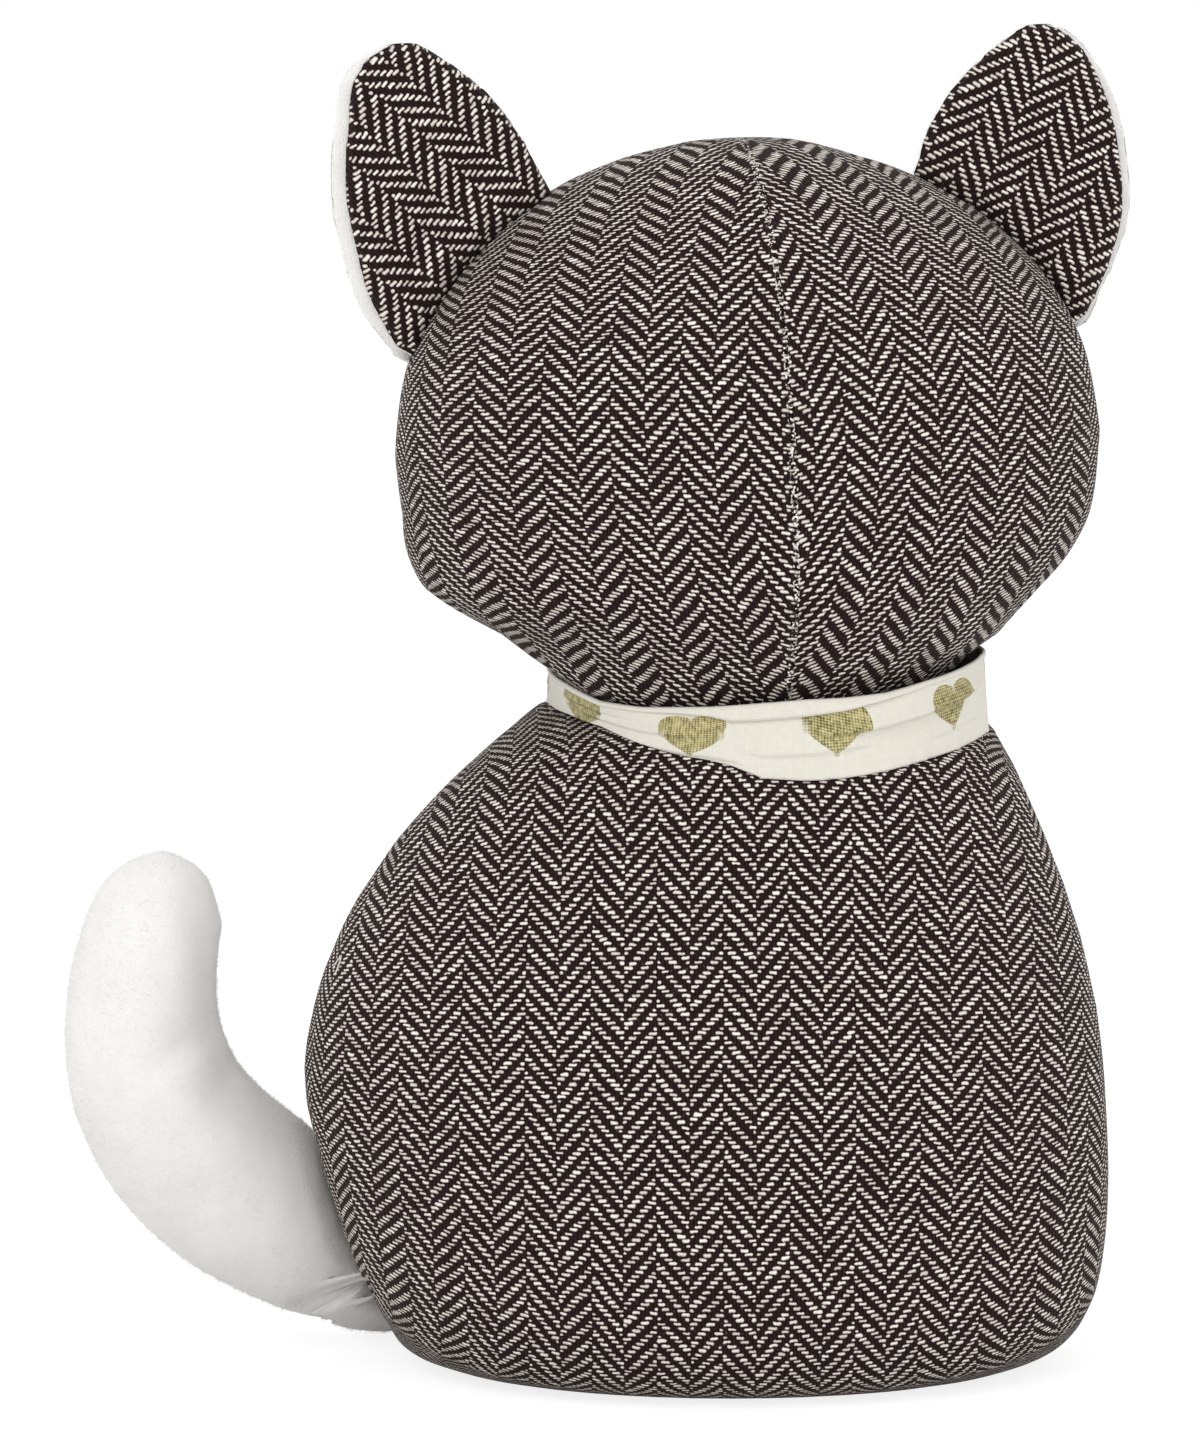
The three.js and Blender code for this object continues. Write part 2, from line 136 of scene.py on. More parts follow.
def remesh(piece, voxel):
    modifier = piece.modifiers.new("remesh", "REMESH")
    modifier.mode = "VOXEL"
    modifier.voxel_size = voxel
    modifier.use_smooth_shade = True
    applyAll(piece)


def relax(piece, repeats, only=None):
    modifier = piece.modifiers.new("relax", "SMOOTH")
    modifier.factor = 0.5
    modifier.iterations = repeats
    if only is not None:
        group = piece.vertex_groups.new(name="only")
        group.add([int(i) for i in np.nonzero(only)[0]], 1, "REPLACE")
        modifier.vertex_group = "only"
    applyAll(piece)
    piece.vertex_groups.clear()


def refine(piece):  # each face cut in four
    modifier = piece.modifiers.new("refine", "SUBSURF")
    modifier.levels = 1
    modifier.render_levels = 1
    applyAll(piece)
    shadeSmooth(piece)


clothRun = {"frames": 20, "quality": 5, "mass": 0.2}


def stuff(piece, facts):  # blows the cover up a little from a slightly smaller start
    rest = points(piece)
    setPoints(piece, rest - normals(piece) * facts["start"])
    cloth = piece.modifiers.new("cloth", "CLOTH")
    settings = cloth.settings
    settings.quality = clothRun["quality"]
    settings.mass = clothRun["mass"]
    settings.tension_stiffness = facts["stiffness"]
    settings.compression_stiffness = facts["stiffness"]
    settings.shear_stiffness = facts["stiffness"] / 2
    settings.bending_stiffness = facts["bending"]
    settings.use_pressure = True
    settings.uniform_pressure_force = facts["pressure"]
    settings.effector_weights.gravity = 0
    cloth.collision_settings.use_collision = False
    if "held" in facts:
        group = piece.vertex_groups.new(name="held")
        group.add([i for i, place in enumerate(rest) if facts["held"](place)], 1, "REPLACE")
        settings.vertex_group_mass = "held"
    cloth.point_cache.frame_start = 1
    cloth.point_cache.frame_end = clothRun["frames"]
    for step in range(1, clothRun["frames"] + 1):
        bpy.context.scene.frame_set(step)
    applyAll(piece)
    bpy.context.scene.frame_set(1)
    piece.vertex_groups.clear()
    moved = points(piece) - rest
    far = np.linalg.norm(moved, axis=1, keepdims=True)
    setPoints(piece, rest + moved * np.minimum(1, facts["cap"] / np.maximum(far, 1e-9)))


def surfaceOf(piece, places=None):  # what rays and nearest places are found on
    if places is None:
        places = points(piece)
    corners = [list(face.vertices) for face in piece.data.polygons]
    return BVHTree.FromPolygons([Vector(place) for place in places], corners)


def keepSize(piece, pattern):  # gives back what smoothing took from the piece's girth
    places = points(piece)
    out = normals(piece)
    gaps = []
    for i in range(0, len(places), 5):
        hit, normal = pattern.find_nearest(Vector(places[i]))[:2]
        gaps.append((Vector(places[i]) - hit).dot(normal))
    gap = float(np.median(gaps))
    setPoints(piece, places - out * gap)
    print(piece.name, "stood in by", round(gap / mm, 2), "mm")


def stuffedCopy(name, parts, facts):  # a rounded, blown-up cover over CAD nodes
    piece = copyOf(name, parts)
    remesh(piece, facts["voxel"])
    pattern = surfaceOf(piece)
    relax(piece, facts["relaxed"])
    stuff(piece, facts["sim"])
    refine(piece)
    keepSize(piece, pattern)
    return piece


def finishPiece(piece, replaced, material):
    piece.data.materials.clear()
    piece.data.materials.append(material)
    settle(piece)
    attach(piece, "root")
    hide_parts(*replaced)


def addFibres(piece, facts, where):  # short fibres, each a thin closed spike, joined to the piece
    random.seed(facts["seed"])
    mesh = piece.data
    mesh.calc_loop_triangles()
    triangles = [t for t in mesh.loop_triangles if where(mesh.polygons[t.polygon_index].center)]
    areas = np.cumsum([t.area for t in triangles])
    comb = Vector(facts["comb"])
    made = bmesh.new()
    for _ in range(facts["count"]):
        face = triangles[int(np.searchsorted(areas, random.random() * areas[-1]))]
        a, b, c = (mesh.vertices[v].co for v in face.vertices)
        r, s = sorted((random.random(), random.random()))
        root = a * r + b * (s - r) + c * (1 - s)
        up = face.normal
        anyWay = Vector((random.uniform(-1, 1), random.uniform(-1, 1), random.uniform(-1, 1)))
        side = up.cross(anyWay).normalized()
        lean = side * facts["stray"] + comb - up * up.dot(comb)
        tip = root + (up + lean).normalized() * facts["length"] * random.uniform(0.5, 1)
        wide = facts["radius"] * random.uniform(0.7, 1.3)
        foot = root - up * 0.1 * mm
        ring = [made.verts.new(foot + side * wide),
                made.verts.new(foot + (up.cross(side) * 0.87 - side * 0.5) * wide),
                made.verts.new(foot - (up.cross(side) * 0.87 + side * 0.5) * wide)]
        top = made.verts.new(tip)
        made.faces.new(reversed(ring))
        for k in range(3):
            made.faces.new((ring[k], ring[(k + 1) % 3], top))
    fibres = bpy.data.meshes.new("fibres")
    made.to_mesh(fibres)
    made.free()
    fuzz = newObject("fibres", fibres)
    fuzz.data.materials.append(facts["material"])
    joinTo(piece, fuzz)


def addThread(piece, facts):  # one loose yarn on the cloth behind: x and z of its points, in mm
    under = surfaceOf(piece)
    curve = bpy.data.curves.new("thread", "CURVE")
    curve.dimensions = "3D"
    curve.bevel_depth = facts["radius"]
    curve.bevel_resolution = 1
    curve.resolution_u = 6
    curve.use_fill_caps = True
    spline = curve.splines.new("NURBS")
    spline.points.add(len(facts["route"]) - 1)
    spline.use_endpoint_u = True
    for point, (x, z) in zip(spline.points, facts["route"]):
        hit, normal = under.find_nearest(Vector((x * mm, facts["behind"], z * mm)))[:2]
        point.co = (*(hit + normal * facts["radius"]), 1)
    thread = newObject("thread", curve)
    activate(thread)
    bpy.ops.object.convert(target="MESH")
    thread.data.materials.clear()
    thread.data.materials.append(facts["material"])
    joinTo(piece, thread)


# Shader helpers
def newMaterial(name):
    material = bpy.data.materials.new(name)
    material.use_nodes = True
    material.node_tree.nodes.clear()
    return material, material.node_tree


def feed(tree, socket, value):
    if isinstance(value, bpy.types.NodeSocket):
        tree.links.new(value, socket)
    else:
        socket.default_value = value


def node(tree, kind, settings=None, **inputs):
    made = tree.nodes.new("ShaderNode" + kind)
    for key, value in (settings or {}).items():
        setattr(made, key, value)
    for key, value in inputs.items():
        feed(tree, made.inputs[key.replace("_", " ")], value)
    return made


def maths(tree, operation, *values):
    made = tree.nodes.new("ShaderNodeMath")
    made.operation = operation
    for socket, value in zip(made.inputs, values):
        feed(tree, socket, value)
    return made.outputs[0]


def plus(tree, first, second):
    return maths(tree, "ADD", first, second)


def minus(tree, first, second):
    return maths(tree, "SUBTRACT", first, second)


def times(tree, first, second):
    return maths(tree, "MULTIPLY", first, second)


def alongWay(tree, place, way):  # how far the place is along a direction
    made = tree.nodes.new("ShaderNodeVectorMath")
    made.operation = "DOT_PRODUCT"
    feed(tree, made.inputs[0], place)
    feed(tree, made.inputs[1], way)
    return made.outputs["Value"]


def ownPlace(tree):
    return node(tree, "TexCoord").outputs["Object"]


def noise(tree, place, scale, detail=2.0, roughness=0.5):
    made = node(tree, "TexNoise", Vector=place, Scale=scale, Detail=detail, Roughness=roughness)
    return made.outputs["Fac"]


def remap(tree, value, low, high, newLow, newHigh):
    made = node(tree, "MapRange", Value=value)
    for key, number in (("From Min", low), ("From Max", high), ("To Min", newLow), ("To Max", newHigh)):
        feed(tree, made.inputs[key], number)
    return made.outputs["Result"]


def blend(tree, share, first, second):
    made = node(tree, "Mix", {"data_type": "RGBA"})
    feed(tree, made.inputs["Factor"], share)
    for socket, value in ((made.inputs[6], first), (made.inputs[7], second)):
        feed(tree, socket, value)
    return made.outputs[2]


def plainWeave(tree, cloth, yarn):
    warp, weft = (maths(tree, "PINGPONG", maths(tree, "DIVIDE", cloth.outputs[way], yarn), 1) for way in "XY")
    return times(tree, warp, weft)


def surface(tree, colour, roughness, normal=None, **sockets):
    shader = node(tree, "BsdfPrincipled")
    feed(tree, shader.inputs["Base Color"], colour)
    feed(tree, shader.inputs["Roughness"], roughness)
    if normal is not None:
        feed(tree, shader.inputs["Normal"], normal)
    for key, value in sockets.items():
        shader.inputs[key.replace("_", " ")].default_value = value
    output = node(tree, "OutputMaterial")
    tree.links.new(shader.outputs[0], output.inputs["Surface"])
    return shader


def bump(tree, height, distance, strength=1.0):
    return node(tree, "Bump", Height=height, Distance=distance, Strength=strength).outputs["Normal"]


def linear(red, green, blue):  # from screen values of 0 to 255
    def one(value):
        value /= 255
        return value / 12.92 if value <= 0.04045 else ((value + 0.055) / 1.055) ** 2.4

    return (one(red), one(green), one(blue), 1)


# Herringbone tweed: light weft over two dark warps, its slant turned round every eight
tweedCloth = {
    "warp": 0.902 * mm,
    "weft": 1.02 * mm,
    "turn": 8,
    "repeat": 4,
    "drift": (110, 0.6),  # scale of the noise, and how many warps it moves them
    "jostle": (700, 0.22),
    "waver": (330, 0.32),  # the same for the wefts
    "yarn": (0.23, 0.37),  # half width of a light yarn, in wefts
    "yarnEnd": 0.34,
    "twists": 9.5,
    "seamWidth": 0.8 * mm,
    "seamDepth": 1.6,
    "depth": 0.36 * mm,
    "light": linear(252, 244, 235),
    # painted shade: the light yarn's colour where it turns away at its rounded sides
    "lightShade": linear(132, 114, 104),
    "dark": linear(48, 33, 31),
    # painted shade: near-black for the shadowed gaps beside the yarns and in the seam's groove, also mixed in
    # at random along the warps
    "darkShade": linear(6, 2, 2),
}


def makeTweed(name, seams=()):  # seams: the way across, its middle, and the way that lies behind it
    facts = tweedCloth
    turn = facts["turn"]
    repeat = facts["repeat"]
    material, tree = newMaterial(name)
    uv = node(tree, "UVMap", {"uv_map": "cloth"}).outputs["UV"]
    place = ownPlace(tree)
    cloth = node(tree, "SeparateXYZ", Vector=uv)
    drift, jostle, waver = (noise(tree, place, facts[key][0], detail)
                            for key, detail in (("drift", 1.0), ("jostle", 1.0), ("waver", 2.0)))
    sway = {key: facts[key][1] for key in ("drift", "jostle", "waver")}
    across = maths(tree, "DIVIDE", cloth.outputs["X"], facts["warp"])
    across = plus(tree, across, remap(tree, drift, 0, 1, -sway["drift"], sway["drift"]))
    across = plus(tree, across, remap(tree, jostle, 0.2, 0.8, -sway["jostle"], sway["jostle"]))
    along = maths(tree, "DIVIDE", cloth.outputs["Y"], facts["weft"])
    along = plus(tree, along, remap(tree, waver, 0.2, 0.8, -sway["waver"], sway["waver"]))
    row = maths(tree, "FLOOR", along)
    level = minus(tree, maths(tree, "FRACT", along), 0.5)
    column = maths(tree, "FLOOR", maths(tree, "DIVIDE", across, turn))
    inColumn = maths(tree, "PINGPONG", across, turn)
    odd = maths(tree, "FLOORED_MODULO", column, 2)
    slant = plus(tree, plus(tree, inColumn, row), times(tree, odd, repeat / 2))
    fromMiddle = minus(tree, maths(tree, "FLOORED_MODULO", plus(tree, slant, 1), repeat), repeat / 2)
    toEnd = minus(tree, 1, maths(tree, "ABSOLUTE", fromMiddle))
    toTurn = maths(tree, "MINIMUM", inColumn, minus(tree, turn, inColumn))
    toEnd = maths(tree, "MINIMUM", toEnd, toTurn)
    overlap = maths(tree, "FLOOR", maths(tree, "DIVIDE", plus(tree, slant, 1), repeat))
    stitch = node(tree, "CombineXYZ", X=overlap, Y=row, Z=column).outputs[0]
    chance = node(tree, "TexWhiteNoise", {"noise_dimensions": "3D"}, Vector=stitch)
    luck = node(tree, "SeparateColor", Color=chance.outputs["Color"])
    slubPlace = node(tree, "CombineXYZ", X=times(tree, across, 0.11), Y=row).outputs[0]
    slub = noise(tree, slubPlace, 1.0, 1.0)
    fray = times(tree, minus(tree, noise(tree, place, 2600, 2.0, 0.7), 0.5), 0.3)
    lift = times(tree, minus(tree, luck.outputs["Red"], 0.5), 0.2)
    offLevel = minus(tree, level, lift)
    pastEnd = maths(tree, "MAXIMUM", 0, minus(tree, facts["yarnEnd"], times(tree, toEnd, 0.9)))
    reach = maths(tree, "SQRT", plus(tree, times(tree, offLevel, offLevel), times(tree, pastEnd, pastEnd)))
    thick = plus(tree, remap(tree, slub, 0.3, 0.7, *facts["yarn"]), times(tree, luck.outputs["Green"], 0.08))
    edge = minus(tree, plus(tree, thick, fray), reach)
    over = remap(tree, edge, -0.05, 0.06, 0, 1)
    weftCrown = remap(tree, maths(tree, "DIVIDE", reach, thick), 0.2, 1.0, 1, 0)
    twist = maths(tree, "SINE", times(tree, plus(tree, across, times(tree, level, 1.6)), facts["twists"]))
    warpSide = maths(tree, "ABSOLUTE", minus(tree, maths(tree, "FRACT", across), 0.5))
    warpCrown = remap(tree, warpSide, 0.05, 0.42, 1, 0)
    fibre = noise(tree, place, 4200, 3.0, 0.75)
    # painted shade: each light yarn darker towards its rounded sides (weftCrown), on top of random tone,
    # twist and fibre
    lightTone = plus(tree, remap(tree, luck.outputs["Blue"], 0, 1, -0.1, 0.3),
                     times(tree, minus(tree, 1, weftCrown), 0.62))
    lightTone = plus(tree, lightTone, times(tree, twist, 0.1))
    lightTone = plus(tree, lightTone, remap(tree, fibre, 0.3, 0.7, -0.2, 0.3))
    light = blend(tree, lightTone, facts["light"], facts["lightShade"])
    yarnShadow = remap(tree, times(tree, edge, -1), 0.0, 0.3, 1, 0)  # painted shadow on the warp just round each light yarn
    # painted shade: each dark warp lighter at its crown and darker at its sides (warpCrown), on top of random
    # fibre tone
    darkTone = minus(tree, remap(tree, fibre, 0.3, 0.75, 1.15, 0.15), times(tree, warpCrown, 0.45))
    darkTone = plus(tree, darkTone, times(tree, yarnShadow, 0.35))
    dark = blend(tree, darkTone, facts["dark"], facts["darkShade"])
    colour = blend(tree, over, dark, light)
    seam = 0.0  # 1 at a seam, 0 away from it
    for way, middle, behind in seams:
        aside = minus(tree, alongWay(tree, place, way), middle)
        aside = plus(tree, aside, remap(tree, jostle, 0, 1, -0.25 * mm, 0.25 * mm))
        near = remap(tree, maths(tree, "ABSOLUTE", aside), 0, facts["seamWidth"], 1, 0)
        if behind:
            near = times(tree, near, maths(tree, "LESS_THAN", alongWay(tree, place, behind), 0))
        seam = maths(tree, "MAXIMUM", seam, near)
    dip = noise(tree, place, 620, 2.0, 0.6)
    bit = noise(tree, place, 1500, 1.0, 0.5)
    # painted shade: the seam's groove darkened in patches towards darkShade
    seamShade = times(tree, remap(tree, seam, 0.3, 0.7, 0, 1), remap(tree, dip, 0.42, 0.56, 0.25, 1))
    colour = blend(tree, times(tree, seamShade, 0.9), colour, facts["darkShade"])
    ends = times(tree, remap(tree, seam, 0.05, 0.3, 0, 1), remap(tree, bit, 0.56, 0.62, 0, 1))
    colour = blend(tree, ends, colour, facts["light"])
    height = plus(tree, times(tree, over, remap(tree, weftCrown, 0, 1, 0.5, 1.0)),
                  times(tree, times(tree, warpCrown, 0.45), minus(tree, 1, over)))
    height = plus(tree, height, times(tree, fibre, 0.2))
    height = minus(tree, height, times(tree, seam, facts["seamDepth"]))
    surface(tree, colour, 0.92, bump(tree, height, facts["depth"]), Sheen_Weight=0.05, Sheen_Roughness=0.4,
            Sheen_Tint=linear(235, 226, 220), Specular_IOR_Level=0.12)
    return material


# White plush: short pile, combed in soft patches
def makePlush(name):
    material, tree = newMaterial(name)
    place = ownPlace(tree)
    pile = noise(tree, place, 2600, 3.0, 0.65)
    patches = noise(tree, place, 55, 3.0, 0.55)
    tone = plus(tree, times(tree, pile, 0.5), times(tree, patches, 0.6))
    colour = blend(tree, remap(tree, tone, 0.35, 0.8, 0, 1), linear(232, 229, 226), linear(248, 247, 245))
    height = plus(tree, pile, times(tree, patches, 0.8))
    surface(tree, colour, 0.95, bump(tree, height, 0.35 * mm, 0.8), Sheen_Weight=0.35, Sheen_Roughness=0.6,
            Sheen_Tint=linear(255, 252, 250), Specular_IOR_Level=0.1)
    return material


# Printed hearts and fine canvas of the ribbon
ribbonPrint = {
    "pitch": 30.6 * mm,
    "heart": 15 * mm,
    "level": 11.9 * mm,
    "first": -90.0 * mm,
    "yarn": 0.33 * mm,
    "cream": linear(226, 223, 213),
    "creamShade": linear(204, 199, 187),
    "gold": linear(94, 83, 42),
    "goldLight": linear(202, 193, 142),
}


def makeRibbon(name):
    facts = ribbonPrint
    material, tree = newMaterial(name)
    uv = node(tree, "UVMap", {"uv_map": "cloth"}).outputs["UV"]
    place = ownPlace(tree)
    cloth = node(tree, "SeparateXYZ", Vector=uv)
    run = plus(tree, cloth.outputs["X"], facts["pitch"] / 2 - facts["first"])
    inPitch = minus(tree, maths(tree, "FLOORED_MODULO", run, facts["pitch"]), facts["pitch"] / 2)
    half = facts["heart"] / 2.28  # the heart's curve is 2.28 wide
    x = maths(tree, "DIVIDE", inPitch, half)
    y = maths(tree, "DIVIDE", minus(tree, cloth.outputs["Y"], facts["level"]), half)
    square = times(tree, x, x)
    ring = minus(tree, plus(tree, square, times(tree, y, y)), 1)
    ringCubed = times(tree, times(tree, ring, ring), ring)
    yCubed = times(tree, times(tree, y, y), y)
    heart = minus(tree, ringCubed, times(tree, square, yCubed))
    ragged = times(tree, minus(tree, noise(tree, place, 1500, 2.0), 0.5), 0.03)
    printed = remap(tree, plus(tree, heart, ragged), 0.012, -0.012, 0, 1)
    weave = plainWeave(tree, cloth, facts["yarn"])
    mottle = noise(tree, place, 900, 3.0, 0.6)
    shaded = plus(tree, remap(tree, weave, 0, 1, 0.35, 0), remap(tree, mottle, 0.3, 0.7, 0.3, 0))
    cream = blend(tree, shaded, facts["cream"], facts["creamShade"])
    glint = remap(tree, plus(tree, times(tree, weave, 0.6), mottle), 0.4, 0.9, 0, 1)
    gold = blend(tree, glint, facts["gold"], facts["goldLight"])
    colour = blend(tree, printed, cream, gold)
    shader = surface(tree, colour, 0.8, bump(tree, plus(tree, weave, mottle), 0.06 * mm, 0.7),
                     Sheen_Weight=0.1, Specular_IOR_Level=0.25)
    feed(tree, shader.inputs["Metallic"], times(tree, printed, 0.35))
    feed(tree, shader.inputs["Roughness"], remap(tree, printed, 0, 1, 0.85, 0.5))
    return material


def makeCanvas(name, dark, light, yarn):
    material, tree = newMaterial(name)
    place = ownPlace(tree)
    cloth = node(tree, "SeparateXYZ", Vector=place)
    weave = plainWeave(tree, cloth, yarn)
    mottle = noise(tree, place, 700, 3.0, 0.6)
    share = plus(tree, times(tree, weave, 0.6), times(tree, mottle, 0.4))
    colour = blend(tree, share, dark, light)
    surface(tree, colour, 0.9, bump(tree, weave, 0.15 * mm, 0.8), Specular_IOR_Level=0.2)
    return material


def makeBead(name):
    material, tree = newMaterial(name)
    place = ownPlace(tree)
    scuff = noise(tree, place, 900, 3.0, 0.6)
    colour = blend(tree, scuff, linear(14, 11, 10), linear(34, 28, 26))
    surface(tree, colour, remap(tree, scuff, 0.3, 0.8, 0.12, 0.3), Coat_Weight=0.3, Coat_Roughness=0.08)
    return material


def makeYarn(name, dark, light):
    material, tree = newMaterial(name)
    place = ownPlace(tree)
    fibre = noise(tree, place, 3000, 2.0, 0.6)
    tone = plus(tree, noise(tree, place, 60, 1.0), remap(tree, fibre, 0.3, 0.7, -0.2, 0.2))
    surface(tree, blend(tree, tone, dark, light), 0.9, bump(tree, fibre, 0.05 * mm), Specular_IOR_Level=0.1)
    return material


tweed = makeTweed("tweed")
bodyTweed = makeTweed("bodyTweed", (((0, 1, 0), 0, None),))
headPose = {"middle": (6 * mm, 0, 206.5 * mm), "roll": math.radians(-2.3), "yaw": math.radians(8.7)}
headPlace = (Matrix.Translation(headPose["middle"]) @ Matrix.Rotation(headPose["roll"], 4, "Y")
             @ Matrix.Rotation(headPose["yaw"], 4, "Z"))
headAcross, headAlong = (headPlace.col[k].to_3d() for k in (0, 1))
headMiddle = headPlace.translation
headTweed = makeTweed("headTweed", ((headAcross, headAcross.dot(headMiddle), headAlong),
                                    (headAlong, headAlong.dot(headMiddle), None)))
plush = makePlush("plush")
ribbonCloth = makeRibbon("ribbonCloth")
baseCanvas = makeCanvas("baseCanvas", linear(26, 20, 19), linear(66, 54, 50), 0.9 * mm)
bagCloth = makeCanvas("bagCloth", linear(176, 160, 128), linear(214, 200, 170), 0.6 * mm)
beadGloss = makeBead("beadGloss")
lint = makeYarn("lint", linear(110, 96, 90), linear(214, 204, 197))
paleYarn = makeYarn("paleYarn", linear(205, 198, 190), linear(244, 240, 235))
print("materials made")


weaveMap = {
    "rises": 80,
    "turns": 137,
    "widest": 102,
    "start": 0.3,  # outside the piece, for the rays that come in
    "gap": 20 * mm,  # two hits further apart aren't neighbours
    "plain": 1 * mm,
    "steepFrom": 0.86,
    "steepRange": 0.12,
}


def stepAlong(way, flatten):  # cloth used by one step round the side, less where it was eased in
    length = np.linalg.norm(way)
    if np.isnan(length) or length > weaveMap["gap"]:
        return weaveMap["plain"]
    steep = min(1, max(0, (abs(way[1]) / length - weaveMap["steepFrom"]) / weaveMap["steepRange"]))
    eased = flatten + (1 - flatten) * steep
    return math.sqrt(way[0] ** 2 + (way[1] * eased) ** 2 + way[2] ** 2)


# The weave's own map: columns run up from the middle of each panel, rows fan out a little from its sides
def layCloth(piece, facts):
    local = carried(points(piece), facts["place"].inverted()) - np.array(facts["centre"])
    skin = surfaceOf(piece, local)
    depth = facts["depth"]
    rounds = np.radians(np.linspace(-weaveMap["widest"], weaveMap["widest"], weaveMap["turns"]))
    middle = len(rounds) // 2
    maps = {}
    for side in (-1, 1):
        out = np.maximum(local[:, 1] * side, 0) + depth
        rise = np.arctan2(local[:, 2], out)
        rises = np.linspace(rise.min(), rise.max(), weaveMap["rises"])
        found = np.full((len(rises), len(rounds), 3), np.nan)
        for i, slope in enumerate(np.tan(rises)):
            start = Vector((0, 0, depth * slope))
            for j, turn in enumerate(rounds):
                way = Vector((math.sin(turn), side * math.cos(turn), max(0, math.cos(turn)) * slope))
                hit = skin.ray_cast(start + way * weaveMap["start"], -way)[0]
                if hit is not None:
                    found[i, j] = hit
        flatten = facts["flatten"] if side < 0 else 1
        across = np.zeros(found.shape[:2])
        for i in range(len(rises)):
            for step in (1, -1):
                total = 0.0
                j = middle + step
                while 0 <= j < len(rounds):
                    total += stepAlong(found[i, j] - found[i, j - step], flatten)
                    across[i, j] = step * total
                    j += step
            across[i] /= 1 - facts["draw"] * math.sin(rises[i]) ** 2
        spine = found[:, middle]
        for i in range(len(rises)):
            if np.isnan(spine[i, 0]):
                spine[i] = spine[i - 1] if i else spine[np.argmax(~np.isnan(spine[:, 0]))]
        along = np.concatenate([[0], np.cumsum(np.linalg.norm(np.diff(spine, axis=0), axis=1))])
        along -= np.interp(0, rises, along)
        atRise = (rise - rises[0]) / (rises[1] - rises[0])
        atTurn = (np.arctan2(local[:, 0], local[:, 1] * side) - rounds[0]) / (rounds[1] - rounds[0])
        i0 = np.clip(atRise.astype(int), 0, len(rises) - 2)
        j0 = np.clip(atTurn.astype(int), 0, len(rounds) - 2)
        a = np.clip(atRise - i0, 0, 1)
        b = np.clip(atTurn - j0, 0, 1)
        u = ((across[i0, j0] * (1 - b) + across[i0, j0 + 1] * b) * (1 - a)
             + (across[i0 + 1, j0] * (1 - b) + across[i0 + 1, j0 + 1] * b) * a)
        maps[side] = np.stack([u, np.interp(rise, rises, along)], axis=1)
    layer = piece.data.uv_layers.new(name="cloth")
    for face in piece.data.polygons:
        middleY = sum(local[v, 1] for v in face.vertices)
        middleX = sum(local[v, 0] for v in face.vertices)
        chosen = maps[1 if middleY > 0 else -1]
        for loop, vertex in zip(face.loop_indices, face.vertices):
            u, v = chosen[vertex]
            if "seam" in facts and middleY < 0:
                side = 1 if middleX > 0 else -1
                far = max(0, side * u)
                swallowed = facts["swallowed"] * v * v / mm
                slope = np.interp(v / mm, *facts["seam"])
                rise = slope * facts["fade"] * (1 - math.exp(-far / facts["fade"]))
                layer.data[loop].uv = (far + swallowed + facts["phase"][side],
                                       v + rise + side * facts["slip"])
            else:
                layer.data[loop].uv = (u, v)


baseRoom = {"aside": 0.4 * mm, "above": 0.5 * mm, "floor": 0.05 * mm, "below": 9 * mm, "rim": 4 * mm}


def clearBase(piece, panel):  # leaves room under the body for the base panel
    edge = np.array([panel.matrix_world @ v.co for v in panel.data.vertices])
    centre = (edge.min(axis=0) + edge.max(axis=0)) / 2
    turn = np.arctan2(edge[:, 1] - centre[1], edge[:, 0] - centre[0])
    reach = np.linalg.norm(edge[:, :2] - centre[:2], axis=1)
    order = np.argsort(turn)
    places = points(piece)
    out = places[:, :2] - centre[:2]
    far = np.linalg.norm(out, axis=1)
    limit = np.interp(np.arctan2(out[:, 1], out[:, 0]), turn[order], reach[order], period=2 * math.pi)
    limit += baseRoom["aside"]
    inside = (places[:, 2] < baseRoom["below"]) & (far < limit)
    places[:, 2] = np.maximum(places[:, 2], baseRoom["floor"])
    places[inside, 2] = np.maximum(places[inside, 2], edge[:, 2].max() + baseRoom["above"])
    rim = set()
    for side in piece.data.edges:
        first, second = side.vertices
        if inside[first] != inside[second]:
            rim.add(first if inside[first] else second)
    rim = np.array([i for i in rim if places[i, 2] < baseRoom["rim"]])
    places[rim, :2] = centre[:2] + out[rim] * (limit[rim] / far[rim])[:, None]
    setPoints(piece, places)


